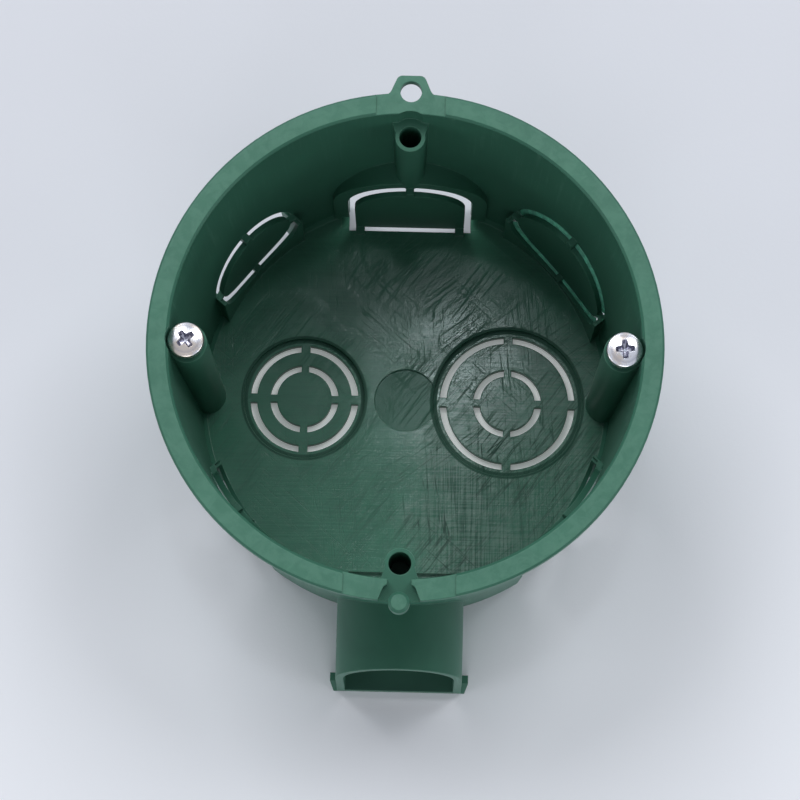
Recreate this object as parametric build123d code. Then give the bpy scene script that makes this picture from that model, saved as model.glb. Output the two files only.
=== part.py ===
from build123d import *
import os

# Round flush back box for wiring devices: one plastic moulding and its two device screws.
# The origin is the centre of the back face. +Z leaves the open mouth, +Y points to the coupling
# lug on the rim, -Y to the conduit spigot. All sizes are millimetres.

# Shell: a drafted round wall on a flat base, with a flange round the mouth.
box_height = 45.0
base_thickness = 2.0
wall_thickness = 1.6
wall_draft = 1.5
flange_width = 3.0
flange_height = 3.0
flange_slope = 1.2
base_chamfer = 0.9
floor_chamfer = 0.6
rim_chamfer = 0.3
mouth_chamfer = 0.35

# Device fixing: four posts on one pitch, two of them holding the screws.
fixing_pitch = 60.0
fixing_margin = 2.3
fixing_hole_radius = 1.55
post_drop = 3.8
screw_post_radius = 2.75
screw_hole_depth = 21.0
slim_post_radius = 2.1
slim_web_root_half_width = 1.9
slim_web_half_width = 2.75
slim_hole_depth = 11.0
head_clearance = 0.25

# Screws: the envelope of the thread and head, standing a little proud of the posts.
thread_clearance = 0.05
screw_head_radius = 2.5
screw_head_edge = 0.5
screw_head_crown = 1.4
screw_crown_radius = 1.4
screw_stand_off = 1.2
screw_length = 20.0
screw_point_length = 2.2
screw_point_radius = 0.5

# Coupling: the lug of one box lies in the rim pocket of the next, over its pin.
coupling_gap = 0.4
lug_hole_radius = 1.5
lug_hole_draft = 0.06
lug_thickness = 1.4
lug_reach = 2.3
lug_tip_half_width = 1.8
lug_root_half_width = 3.0
lug_tip_round = 0.9
lug_root_round = 1.5
lug_root_sink = 0.3
lug_foot_half_width = 6.0
lug_foot_sink = 0.9
pin_clearance = 0.05
pin_above_rim = 0.6
pin_chamfer = 0.4
pin_foot_draft = 0.25
pocket_clearance = 0.2
pocket_channel_half_width = 1.65
land_depth = 0.25
lug_land_half_width = 4.8
pin_land_half_width = 7.6

# Side entries: four round openings in the wall, larger on the right, each closed by a thin curved
# panel. Below its middle an opening continues as a channel between the sill and the outside.
side_entry_angle = 40.0
side_entry_height = 12.6
left_entry_radius = 8.4
right_entry_radius = 10.3
side_slot = 1.0
side_web_width = 1.1
side_panel_setback = 0.45
side_panel_thickness = 0.9
sill_setback = 1.4
sill_thickness = 0.65
sill_lip = 0.5
cheek_margin = 0.2

# Spigot: an arched duct out of the wall, with a sloped mouth and two latching ears.
conduit_centre_height = 11.7
spigot_half_width = 9.2
spigot_wall = 1.15
spigot_floor = 1.1
spigot_mouth_slope = 4.6
spigot_end_gap = 0.1
spigot_clearance = 0.1
duct_setback = 4.5
ear_thickness = 1.05
ear_length = 2.5
ear_height = 2.8
ear_crown = 1.2
ear_lead_in = 0.5

# Coupling entry: a vault at the lug end that takes the spigot of the next box.
vault_wall = 2.2
vault_setback = 2.7
coupling_panel_setback = 3.9
coupling_panel_thickness = 0.85
coupling_slot = 1.05
coupling_floor_slot = 0.6
coupling_web_width = 1.2
coupling_corner_web = 1.35
latch_clearance = 0.25

# Base: two double ring knock-outs in sunk circles, and a round gate mark.
left_knockout_radius = 8.2
left_recess_radius = 9.2
right_knockout_radius = 10.25
right_recess_radius = 11.3
inner_knockout_radius = 5.18
knockout_slot = 1.0
knockout_outer_web = 1.35
knockout_inner_web = 1.1
recess_depth = 0.7
gate_mark_radius = 4.75
gate_mark_depth = 0.35

# Radii that follow from the fixing pitch.
fixing_radius = fixing_pitch / 2
mouth_radius = fixing_radius + fixing_margin
floor_radius = mouth_radius - wall_draft
flange_radius = mouth_radius + flange_width
knockout_x = floor_radius / 2
sill_inner = floor_radius - sill_setback
sill_outer = sill_inner + sill_thickness
side_panel_inner = floor_radius - side_panel_setback
side_panel_outer = side_panel_inner + side_panel_thickness
head_pocket_radius = screw_head_radius + head_clearance

# Heights that follow from the box height.
flange_start = box_height - flange_height
post_top = box_height - post_drop
lug_top = box_height - land_depth
lug_bottom = lug_top - lug_thickness
pocket_floor = lug_bottom - pocket_clearance

# Coupling of two boxes: the spigot ends just short of the next box's coupling panel.
coupling_pitch = 2 * flange_radius + coupling_gap
coupling_radius = coupling_pitch / 2
coupling_panel_inset = floor_radius - coupling_panel_setback
spigot_reach = coupling_pitch - coupling_panel_inset - spigot_end_gap
duct_start = floor_radius - duct_setback
passage_half_width = spigot_half_width + spigot_clearance
passage_apex = conduit_centre_height + passage_half_width
vault_start = floor_radius - vault_setback

# How far a cut runs past the part, and how far one piece of the moulding enters the next.
beyond = 10.0
merge = 0.6


def wall_radius(height):
    """Inside radius of the drafted wall at a height above the back face."""
    share = (height - base_thickness) / (box_height - base_thickness)
    return floor_radius + share * wall_draft


def block(x_from, x_to, y_from, y_to, z_from, z_to):
    """Rectangular solid between two corners."""
    centre = ((x_from + x_to) / 2, (y_from + y_to) / 2, (z_from + z_to) / 2)
    return Pos(*centre) * Box(abs(x_to - x_from), abs(y_to - y_from), abs(z_to - z_from))


def upright(radius, x, y, z_from, z_to):
    """Round solid standing on its end."""
    return Pos(x, y, (z_from + z_to) / 2) * Cylinder(radius, z_to - z_from)


def lying(radius, y_to):
    """Round solid along +Y from the box's axis, at the height of the side entries."""
    return Pos(0, y_to / 2, side_entry_height) * Rot(90, 0, 0) * Cylinder(radius, y_to)


def wall_ring(inner, outer, half_width, z_from, z_to):
    """Piece of a round wall about the box's axis, within a half width on either side of +Y."""
    ring = upright(outer, 0, 0, z_from, z_to) - upright(inner, 0, 0, z_from, z_to)
    return ring & block(-half_width, half_width, 0, outer + merge, z_from, z_to)


def turned(points):
    """Solid of revolution about Z from a closed outline of (radius, height) points."""
    return revolve(Plane.XZ * make_face(Polyline(*points, close=True)), axis=Axis.Z)


def prism(points, radii, z_from, z_to):
    """Upright prism from a closed outline of (x, y) points."""
    outline = FilletPolyline(*points, radius=radii, close=True)
    return extrude(Pos(0, 0, z_from) * make_face(outline), amount=z_to - z_from)


def arch(half_width, spring, bottom, y_from, y_to):
    """Solid with upright sides and a half-round top, running along Y."""
    left = (-half_width, spring)
    right = (half_width, spring)
    sides = Polyline(left, (-half_width, bottom), (half_width, bottom), right)
    crown = ThreePointArc(right, (0, spring + half_width), left)
    section = Plane((0, y_to, 0), x_dir=(1, 0, 0), z_dir=(0, -1, 0))
    return extrude(section * make_face(sides + crown), amount=y_to - y_from)


def outer_form():
    """Base, drafted wall and flange as one solid."""
    foot = floor_radius + wall_thickness
    return turned([(0, 0), (foot - base_chamfer, 0), (foot, base_chamfer),
                   (mouth_radius + wall_thickness, flange_start),
                   (flange_radius, flange_start + flange_slope), (flange_radius, box_height - rim_chamfer),
                   (flange_radius - rim_chamfer, box_height), (0, box_height)])


def cavity():
    """The space inside the wall, open at the mouth."""
    lip = mouth_radius + mouth_chamfer
    corner = base_thickness + floor_chamfer
    return turned([(0, base_thickness), (floor_radius - floor_chamfer, base_thickness),
                   (wall_radius(corner), corner), (mouth_radius, box_height - mouth_chamfer),
                   (lip, box_height), (lip, box_height + beyond), (0, box_height + beyond)])


def lug_plan(grow):
    """Outline of the lug and of its root along the flange, all round larger by grow."""
    tip = coupling_radius + lug_reach + grow
    root = flange_radius - lug_root_sink
    foot = flange_radius - lug_foot_sink
    tip_half = lug_tip_half_width + grow
    root_half = lug_root_half_width + grow
    foot_half = lug_foot_half_width + grow
    return [(-foot_half, foot), (-root_half, root), (-tip_half, tip),
            (tip_half, tip), (root_half, root), (foot_half, foot)]


def lug():
    """Lug that reaches outwards from the rim."""
    radii = [0, lug_root_round, lug_tip_round, lug_tip_round, lug_root_round, 0]
    return prism(lug_plan(0), radii, lug_bottom, box_height)


def lug_hole():
    """Hole through the lug for the next box's pin, relieved by a cone in the flange below."""
    hole = upright(lug_hole_radius, 0, coupling_radius, lug_bottom, box_height + beyond)
    relief_height = lug_bottom - flange_start
    relief = Cone(lug_hole_radius + lug_hole_draft, lug_hole_radius, relief_height)
    return hole + Pos(0, coupling_radius, flange_start + relief_height / 2) * relief


def lug_pocket():
    """Pocket in the rim for the next box's lug, with a channel to the nearest fixing post."""
    high = box_height + beyond
    radii = [0, lug_root_round, lug_tip_round, lug_tip_round, lug_root_round, 0]
    pocket = Pos(0, -coupling_pitch, 0) * prism(lug_plan(pocket_clearance), radii, pocket_floor, high)
    half = pocket_channel_half_width
    return pocket + block(-half, half, -coupling_radius, -fixing_radius, pocket_floor, high)


def pin():
    """Upright pin that the next box's lug drops over, on a foot that narrows down the flange."""
    radius = lug_hole_radius - pin_clearance
    stem = upright(radius, 0, -coupling_radius, pocket_floor, box_height + pin_above_rim)
    stem = chamfer(stem.edges().sort_by(Axis.Z)[-1], pin_chamfer)
    foot_height = pocket_floor - flange_start
    foot = Cone(radius - pin_foot_draft, radius, foot_height)
    return stem + Pos(0, -coupling_radius, flange_start + foot_height / 2) * foot


def rim_lands():
    """Slightly lowered stretches of the rim at the lug and at the pin."""
    outer = flange_radius + beyond
    high = box_height + beyond
    lug_end = block(-lug_land_half_width, lug_land_half_width, fixing_radius, outer, lug_top, high)
    pin_end = block(-pin_land_half_width, pin_land_half_width, -outer, -fixing_radius, lug_top, high)
    return lug_end + pin_end


def screw_posts():
    """Full-height round posts that stand half inside the wall."""
    solid = Part()
    for side in (-1, 1):
        solid += upright(screw_post_radius, side * fixing_radius, 0, base_thickness / 2, post_top)
    return solid


def slim_post(side, bottom, top):
    """Half-height post with a web that widens towards the wall."""
    column = upright(slim_post_radius, 0, side * fixing_radius, bottom, top)
    root = slim_web_root_half_width
    wall = side * (wall_radius(top) + merge)
    points = [(-root, side * fixing_radius), (-slim_web_half_width, wall),
              (slim_web_half_width, wall), (root, side * fixing_radius)]
    return column + prism(points, 0, bottom, top)


def fixing_holes():
    """Blind screw holes and the head pockets above them, at all four posts."""
    places = [(fixing_radius, 0, post_top, screw_hole_depth),
              (-fixing_radius, 0, post_top, screw_hole_depth),
              (0, fixing_radius, post_top, slim_hole_depth),
              (0, -fixing_radius, pocket_floor, slim_hole_depth)]
    solid = Part()
    for x, y, top, depth in places:
        solid += upright(fixing_hole_radius, x, y, top - depth, top + beyond)
        solid += upright(head_pocket_radius, x, y, top, box_height + beyond)
    return solid


def side_pad(radius):
    """Raised field inside the wall that carries the sill and the cheeks of a side entry."""
    half = radius + cheek_margin
    top = side_entry_height + side_web_width / 2
    return wall_ring(sill_inner, wall_radius(side_entry_height) + merge, half, base_thickness / 2, top)


def side_opening(radius):
    """Round opening through pad and wall, with the channel behind the sill, open below."""
    narrow = radius - sill_lip
    wide = flange_radius + merge
    above = block(-wide, wide, -merge, wide, side_entry_height, box_height)
    channel = wall_ring(sill_outer, flange_radius, narrow, -beyond, side_entry_height)
    return (lying(radius, flange_radius) & above) + lying(narrow, flange_radius) + channel


def side_panel(radius):
    """Curved round knock-out panel of a side entry with the four thin webs that hold it."""
    low = side_entry_height - radius
    high = side_entry_height + radius
    web = side_web_width / 2
    panel = wall_ring(side_panel_inner, side_panel_outer, radius, low, high)
    panel &= lying(radius - side_slot, flange_radius)
    panel += wall_ring(side_panel_inner, side_panel_outer, radius + cheek_margin / 2,
                       side_entry_height - web, side_entry_height + web)
    panel += wall_ring(side_panel_inner, wall_radius(high) + merge, web, high - side_slot - merge,
                       high + merge)
    return panel + wall_ring(sill_inner, side_panel_outer, web, low + sill_lip - merge,
                             low + side_slot + merge)


def coupling_vault():
    """Arched roof and cheeks inside the wall, before its passage is cut."""
    half = passage_half_width + vault_wall
    return arch(half, conduit_centre_height, 0, vault_start, flange_radius) & outer_form()


def coupling_passage():
    """Passage for the next box's spigot and its ears, open below and through the wall."""
    start = coupling_panel_inset - coupling_floor_slot
    passage = arch(passage_half_width, conduit_centre_height, -beyond, start, flange_radius)
    side = spigot_half_width + ear_thickness + latch_clearance
    front = coupling_pitch - spigot_reach - latch_clearance
    shoulder = coupling_pitch - spigot_reach + ear_length + latch_clearance
    return passage + block(-side, side, front, shoulder, -beyond, ear_height + latch_clearance)


def coupling_panel():
    """Knock-out panel at the inner end of the vault, with its crown and corner webs."""
    inner = coupling_panel_inset
    outer = inner + coupling_panel_thickness
    half = passage_half_width - coupling_slot
    apex = passage_apex - coupling_slot / 2
    web = coupling_web_width / 2
    panel = arch(half, apex - half, base_thickness, inner, outer)
    panel += block(-web, web, inner, vault_start + merge, apex - merge, passage_apex + merge)
    front = inner - coupling_floor_slot - merge
    for side in (-1, 1):
        panel += block(side * (half - coupling_corner_web), side * half, front, outer,
                       base_thickness - merge, base_thickness + merge)
    return panel


def ear(side):
    """Latching ear at the foot of the spigot's mouth: square behind, sloped in front."""
    end = -spigot_reach
    shoulder = end + ear_length
    crown = shoulder - ear_crown
    root = spigot_half_width - spigot_wall / 2
    tip = spigot_half_width + ear_thickness
    profile = Polyline((shoulder, 0), (shoulder, ear_height), (crown, ear_height), (end, 0), close=True)
    solid = Pos(root, 0, 0) * extrude(Plane.YZ * make_face(profile), amount=tip - root)
    lead_in = [(tip, crown), (tip + beyond, crown), (tip + beyond, end), (tip - ear_lead_in, end)]
    solid -= prism(lead_in, 0, -beyond, beyond)
    return solid if side > 0 else mirror(solid, about=Plane.YZ)


def spigot():
    """Arched duct outside the wall with its sloped mouth and ears, before its bore is cut."""
    duct = arch(spigot_half_width, conduit_centre_height, 0, -spigot_reach, -duct_start)
    wide = spigot_half_width + beyond
    tall = conduit_centre_height + spigot_half_width + beyond
    past_mouth = block(-wide, wide, -beyond, 0, -tall, tall)
    duct -= Pos(0, -spigot_reach, 0) * Rot(-spigot_mouth_slope, 0, 0) * past_mouth
    return duct + ear(-1) + ear(1)


def duct_bore():
    """Inside of the duct, from the edge of the base out through the mouth."""
    half = spigot_half_width - spigot_wall
    return arch(half, conduit_centre_height, spigot_floor, -spigot_reach - beyond, -duct_start)


def ring_slot(x, radius, web):
    """One ring-shaped slot through the base, parted by four webs."""
    low = -beyond
    high = base_thickness
    ring = upright(radius, x, 0, low, high) - upright(radius - knockout_slot, x, 0, low, high)
    ring -= block(x - radius, x + radius, -web / 2, web / 2, low, high)
    return ring - block(x - web / 2, x + web / 2, -radius, radius, low, high)


def base_cuts():
    """Sunk circles, ring slots and gate mark of the base."""
    above = base_thickness + merge
    solid = upright(gate_mark_radius, 0, 0, base_thickness - gate_mark_depth, above)
    knockouts = [(-knockout_x, left_knockout_radius, left_recess_radius),
                 (knockout_x, right_knockout_radius, right_recess_radius)]
    for x, radius, recess_radius in knockouts:
        solid += upright(recess_radius, x, 0, base_thickness - recess_depth, above)
        solid += ring_slot(x, radius, knockout_outer_web)
        solid += ring_slot(x, inner_knockout_radius, knockout_inner_web)
    return solid


def back_box():
    """The whole moulding."""
    entries = [(side_entry_angle, right_entry_radius), (180 - side_entry_angle, left_entry_radius),
               (180 + side_entry_angle, left_entry_radius), (-side_entry_angle, right_entry_radius)]

    body = outer_form() + spigot() + lug() - cavity()
    body += screw_posts()
    body += slim_post(1, passage_apex, post_top)
    body += slim_post(-1, conduit_centre_height + spigot_half_width, pocket_floor)
    body += coupling_vault()
    for angle, radius in entries:
        turn = Rot(0, 0, angle - 90)
        body += turn * side_pad(radius)
        body -= turn * side_opening(radius)
        body += turn * side_panel(radius)
    body -= coupling_passage()
    body += coupling_panel()
    body -= duct_bore()
    body -= base_cuts()
    body -= rim_lands()
    body -= lug_pocket()
    body -= fixing_holes()
    body -= lug_hole()
    body += pin()
    return body


def device_screw(x):
    """Screw hanging in its post by the thread, its head narrowing to a flat crown."""
    seat = post_top + screw_stand_off
    edge = seat + screw_head_edge
    top = edge + screw_head_crown
    point = seat - screw_length
    shank = fixing_hole_radius - thread_clearance
    points = [(0, top), (0, point), (screw_point_radius, point), (shank, point + screw_point_length),
              (shank, seat), (screw_head_radius, seat), (screw_head_radius, edge), (screw_crown_radius, top)]
    return Pos(x, 0, 0) * turned(points)


def device_screws():
    """Both screws as separate solids."""
    return Compound(children=[device_screw(side * fixing_radius).solid() for side in (-1, 1)])


os.makedirs("parts", exist_ok=True)
for name, shape in {"back_box": back_box(), "device_screws": device_screws()}.items():
    export_step(shape, f"parts/{name}.step")
    print(name, "solids", len(shape.solids()), "volume", round(shape.volume, 1))
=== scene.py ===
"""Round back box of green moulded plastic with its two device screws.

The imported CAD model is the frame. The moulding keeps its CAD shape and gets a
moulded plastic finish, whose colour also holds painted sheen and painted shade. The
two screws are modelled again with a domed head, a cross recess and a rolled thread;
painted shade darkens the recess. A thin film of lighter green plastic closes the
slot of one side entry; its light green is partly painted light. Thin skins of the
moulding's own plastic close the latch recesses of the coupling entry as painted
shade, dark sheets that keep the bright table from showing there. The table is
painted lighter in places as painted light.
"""
import logging
import math
from abc import ABC, abstractmethod
from dataclasses import dataclass
from enum import Enum
from typing import Any, ClassVar, Optional, Sequence, Union

import bpy
from mathutils import Matrix, Vector


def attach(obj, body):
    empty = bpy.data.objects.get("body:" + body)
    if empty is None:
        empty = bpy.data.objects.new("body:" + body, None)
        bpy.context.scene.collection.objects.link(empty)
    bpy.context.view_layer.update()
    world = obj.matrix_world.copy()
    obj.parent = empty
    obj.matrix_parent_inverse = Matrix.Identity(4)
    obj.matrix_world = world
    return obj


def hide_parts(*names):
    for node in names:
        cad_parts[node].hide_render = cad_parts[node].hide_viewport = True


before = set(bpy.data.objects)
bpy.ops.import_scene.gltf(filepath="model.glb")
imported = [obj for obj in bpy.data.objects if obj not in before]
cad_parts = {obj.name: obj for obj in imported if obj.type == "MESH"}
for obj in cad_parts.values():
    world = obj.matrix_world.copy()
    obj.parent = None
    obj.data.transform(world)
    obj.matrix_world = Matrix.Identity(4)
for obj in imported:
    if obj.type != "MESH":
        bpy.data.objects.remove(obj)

LOG = logging.getLogger("round_back_box")
MM = 0.001

Colour = tuple[float, float, float]
Point = tuple[float, float, float]
Edge = tuple[float, float]
Span = tuple[float, float]
Socket = bpy.types.NodeSocket
Input = Union[Socket, float, Sequence[float]]


class Side(Enum):
    """Side of the box, with the turn of the cross recess in the screw there."""

    LEFT = (-1, 38.0)
    RIGHT = (1, 4.0)

    @property
    def sign(self) -> int:
        """Return -1 for the left and 1 for the right."""
        return self.value[0]

    @property
    def recess_turn(self) -> float:
        """Return the turn of the cross recess in degrees."""
        return self.value[1]


class Sheet:
    """A node tree with short calls for the nodes that a finish is made of."""

    def __init__(self, tree: bpy.types.NodeTree) -> None:
        """Start on a node tree and clear it.

        Args:
            tree: The tree of a material or of the world.
        """
        self.tree = tree
        tree.nodes.clear()

    def add(self, kind: str, settings: Optional[dict[str, Any]] = None,
            inputs: Optional[dict[Union[str, int], Input]] = None) -> bpy.types.Node:
        """Add one node.

        Args:
            kind: Blender's name of the node type.
            settings: Properties of the node by name.
            inputs: Links or values by the input's name or number.

        Returns:
            The new node.
        """
        node = self.tree.nodes.new(kind)
        for name, value in (settings or {}).items():
            setattr(node, name, value)
        for name, value in (inputs or {}).items():
            self.feed(node.inputs[name], value)
        return node

    def feed(self, socket: Socket, value: Input) -> None:
        """Link or set one input.

        Args:
            socket: The input.
            value: An output to link, or the value to set.
        """
        if isinstance(value, bpy.types.NodeSocket):
            self.tree.links.new(value, socket)
        else:
            socket.default_value = value

    def calc(self, operation: str, first: Input, second: Input = 0.0, third: Input = 0.0,
             clamp: bool = False) -> Socket:
        """Calculate with up to three numbers.

        Args:
            operation: Name of the Math node's operation.
            first: First number.
            second: Second number.
            third: Third number.
            clamp: Whether the result is kept within 0 and 1.

        Returns:
            The result.
        """
        node = self.add("ShaderNodeMath", {"operation": operation, "use_clamp": clamp},
                        {0: first, 1: second, 2: third})
        return node.outputs[0]

    def total(self, *values: Input) -> Socket:
        """Add numbers up.

        Args:
            values: The numbers.

        Returns:
            Their sum.
        """
        result = values[0]
        for value in values[1:]:
            result = self.calc("ADD", result, value)
        return result

    def product(self, *values: Input) -> Socket:
        """Multiply numbers.

        Args:
            values: The numbers.

        Returns:
            Their product.
        """
        result = values[0]
        for value in values[1:]:
            result = self.calc("MULTIPLY", result, value)
        return result

    def swing(self, pattern: Input, amount: float) -> Socket:
        """Turn a pattern from 0 to 1 into a swing about zero.

        Args:
            pattern: The pattern.
            amount: Width of the swing.

        Returns:
            The swing.
        """
        return self.product(self.calc("SUBTRACT", pattern, 0.5), amount)

    def between(self, value: Input, low: float, high: float, start: float = 0.0,
                end: float = 1.0) -> Socket:
        """Map a range of a number to another, with eased ends, and hold it there.

        Args:
            value: The number.
            low: Where the range starts.
            high: Where the range ends.
            start: Result at low.
            end: Result at high.

        Returns:
            The mapped number.
        """
        node = self.add("ShaderNodeMapRange", {"interpolation_type": "SMOOTHSTEP", "clamp": True},
                        {0: value, 1: low, 2: high, 3: start, 4: end})
        return node.outputs[0]

    def below(self, value: Input, limit: float, fade: float) -> Socket:
        """Return 1 where a number is below a limit and 0 from a little above it.

        Args:
            value: The number.
            limit: Where the fall starts.
            fade: Length of the fall.

        Returns:
            The mask.
        """
        return self.between(value, limit, limit + fade, 1.0, 0.0)

    def millimetres(self) -> Socket:
        """Return the object's coordinates in millimetres."""
        place = self.add("ShaderNodeTexCoord").outputs["Object"]
        return self.add("ShaderNodeVectorMath", {"operation": "SCALE"},
                        {0: place, "Scale": 1.0 / MM}).outputs[0]

    def axes(self, vector: Input) -> tuple[Socket, Socket, Socket]:
        """Return the three numbers of a vector."""
        parts = self.add("ShaderNodeSeparateXYZ", None, {0: vector})
        return parts.outputs[0], parts.outputs[1], parts.outputs[2]

    def pair(self, first: Input, second: Input) -> Socket:
        """Join two numbers to a vector in the XY plane."""
        return self.add("ShaderNodeCombineXYZ", None, {0: first, 1: second}).outputs[0]

    def length(self, vector: Input) -> Socket:
        """Return the length of a vector."""
        return self.add("ShaderNodeVectorMath", {"operation": "LENGTH"}, {0: vector}).outputs[1]

    def scaled(self, vector: Input, factors: Sequence[float], turn: float = 0.0,
               shift: Sequence[float] = (0.0, 0.0, 0.0)) -> Socket:
        """Turn a vector about Z and then stretch it along each axis.

        Args:
            vector: The coordinates.
            factors: Factor for each axis.
            turn: Turn about Z in degrees, before the stretch.
            shift: Shift, after the stretch.

        Returns:
            The new coordinates.
        """
        turned = self.add("ShaderNodeMapping", {"vector_type": "POINT"},
                          {"Vector": vector, "Rotation": (0.0, 0.0, math.radians(turn))})
        placed = self.add("ShaderNodeMapping", {"vector_type": "POINT"},
                          {"Vector": turned.outputs[0], "Scale": tuple(factors),
                           "Location": tuple(shift)})
        return placed.outputs[0]

    def noise(self, vector: Input, scale: float, detail: float = 3.0, roughness: float = 0.5,
              distortion: float = 0.0) -> Socket:
        """Return a noise texture's value.

        Args:
            vector: The coordinates.
            scale: Number of waves in a unit.
            detail: Number of finer layers.
            roughness: Weight of the finer layers.
            distortion: How far the pattern is stirred.

        Returns:
            The value, from 0 to 1.
        """
        node = self.add("ShaderNodeTexNoise", {"noise_dimensions": "3D"},
                        {"Vector": vector, "Scale": scale, "Detail": detail,
                         "Roughness": roughness, "Distortion": distortion})
        return node.outputs[0]

    def mix(self, share: Input, first: Input, second: Input) -> Socket:
        """Mix two colours.

        Args:
            share: Share of the second colour.
            first: First colour.
            second: Second colour.

        Returns:
            The mixed colour.
        """
        node = self.add("ShaderNodeMix", {"data_type": "RGBA", "blend_type": "MIX"})
        self.feed(node.inputs[0], share)
        self.feed(node.inputs[6], (*first, 1.0) if isinstance(first, tuple) else first)
        self.feed(node.inputs[7], (*second, 1.0) if isinstance(second, tuple) else second)
        return node.outputs[2]

    def coats(self, colour: Input, *coats: tuple[Input, Colour]) -> Socket:
        """Lay colours over a first one.

        Args:
            colour: The first colour.
            coats: Share and colour of each coat, from the lowest to the top.

        Returns:
            The colour that shows.
        """
        for share, over in coats:
            colour = self.mix(share, colour, over)
        return colour

    def bevel(self, radius: float) -> Socket:
        """Return the normal of a surface whose edges are rounded by so many millimetres."""
        return self.add("ShaderNodeBevel", {"samples": 6}, {"Radius": radius * MM}).outputs[0]

    def bump(self, relief: Input, strength: float, depth: float,
             normal: Optional[Socket] = None) -> Socket:
        """Return the normal of a surface with a fine relief.

        Args:
            relief: The relief.
            strength: Strength of the effect.
            depth: Depth of the relief in millimetres.
            normal: Normal of the surface below, if it isn't the mesh's own.

        Returns:
            The normal.
        """
        inputs = {"Strength": strength, "Distance": depth * MM, "Height": relief}
        if normal is not None:
            inputs["Normal"] = normal
        return self.add("ShaderNodeBump", None, inputs).outputs[0]

    def surface(self, inputs: dict[str, Input]) -> None:
        """Close the tree of a material with a surface.

        Args:
            inputs: Links or values of the surface by the input's name.
        """
        skin = self.add("ShaderNodeBsdfPrincipled", None, inputs)
        self.add("ShaderNodeOutputMaterial", None, {0: skin.outputs[0]})


@dataclass(frozen=True)
class Finish(ABC):
    """A material that is drawn with nodes and given to whole pieces."""

    label: ClassVar[str]
    colour: Colour

    def dress(self, thing: bpy.types.Object) -> None:
        """Give the finish to a piece.

        Args:
            thing: The piece, whose material slots are all set.
        """
        material = bpy.data.materials.new(self.label)
        material.use_nodes = True
        self.draw(Sheet(material.node_tree))
        material.diffuse_color = (*self.colour, 1.0)
        if not thing.material_slots:
            thing.data.materials.append(material)
        for slot in thing.material_slots:
            slot.material = material

    @abstractmethod
    def draw(self, sheet: Sheet) -> None:
        """Draw the node tree.

        Args:
            sheet: The empty tree of the material.
        """


@dataclass(frozen=True)
class ScratchSet:
    """Thin scratches that run in one direction.

    Attributes:
        turn: Direction in degrees.
        fine: Number of lines in a millimetre across.
        width: Share of the pattern that a scratch takes.
        shift: Offset that makes each set different.
        stretch: Number of lines in a millimetre along.
        patch_scale: Number of scratched patches in a millimetre.
        patch_edge: Values of the pattern between which a patch fades in.
    """

    turn: float
    fine: float
    width: float
    shift: float
    stretch: float = 0.045
    patch_scale: float = 0.07
    patch_edge: Span = (0.45, 0.60)

    def draw(self, sheet: Sheet, place: Socket) -> Socket:
        """Draw the scratches.

        Args:
            sheet: The node tree.
            place: Coordinates in millimetres.

        Returns:
            The scratches, from 0 to 1.
        """
        shift = self.shift
        factors = (self.stretch, self.fine, 0.3)
        along = sheet.scaled(place, factors, self.turn, (shift, shift, shift))
        wave = sheet.noise(along, 1.0, detail=2.0, roughness=0.45)
        off = sheet.calc("ABSOLUTE", sheet.calc("SUBTRACT", wave, 0.5))
        line = sheet.below(off, 0.0, self.width)
        spread = sheet.scaled(place, (self.patch_scale,) * 3, 0.0, (shift, 3.0, shift))
        patch = sheet.between(sheet.noise(spread, 1.0, detail=1.0), *self.patch_edge)
        return sheet.product(line, patch)


@dataclass(frozen=True)
class SunkCircle:
    """A round recess in the floor: its centre along X and its radius, in millimetres."""

    x: float
    radius: float

    def draw(self, sheet: Sheet, right: Socket, forward: Socket, line: float) -> Socket:
        """Draw the painted shade line inside the circle's edge.

        Args:
            sheet: The node tree.
            right: Coordinate along X.
            forward: Coordinate along Y.
            line: Half the width of the line.

        Returns:
            The line, from 0 to 1.
        """
        reach = sheet.length(sheet.pair(sheet.calc("SUBTRACT", right, self.x), forward))
        off = sheet.calc("ABSOLUTE", sheet.calc("SUBTRACT", reach, self.radius - 0.1))
        return sheet.below(off, line, 0.16)


@dataclass(frozen=True)
class Ground:
    """Where a point of the moulding lies, in millimetres, and masks of its faces from 0 to 1."""

    place: Socket
    right: Socket
    forward: Socket
    height: Socket
    radius: Socket
    around: Socket
    low_face: Socket
    on_floor: Socket
    on_rim: Socket
    outside: Socket


@dataclass(frozen=True)
class Marks:
    """Patterns from 0 to 1 that the colour, the gloss and the relief of the moulding share."""

    grain: Socket
    cloud: Socket
    milling: Socket
    depth: Socket
    scuffs: Socket
    # Painted shade line inside each round recess of the floor.
    rings: Socket
    gate: Socket
    # Painted sheen on the floor, a pale colour that stands in for its gloss.
    sheen: Socket
    streaks: Socket


@dataclass(frozen=True)
class FloorLayout:
    """Spans in millimetres over which the floor's marks come up, from 0 to 1.

    The spans of the painted sheen run along X and wander with a slow pattern. The
    others run along Y; the last of them is where the painted shade of the duct comes up.
    """

    wander: float = 18.0
    sheen: Span = (-5.0, 13.0)
    band_start: Span = (-1.0, 8.0)
    band_end: Span = (19.0, 11.0)
    painted_sheen_end: Span = (15.0, 7.5)
    hatch: Span = (-4.0, -14.0)
    duct: Span = (-33.0, -34.0)


@dataclass(frozen=True)
class PaintedSheen:
    """How strong the floor's painted sheen is: everywhere, to the right, in its band, at the gate.
    """

    base: float = 0.08
    rightwards: float = 0.42
    band: float = 0.75
    gate: float = -0.7


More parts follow.
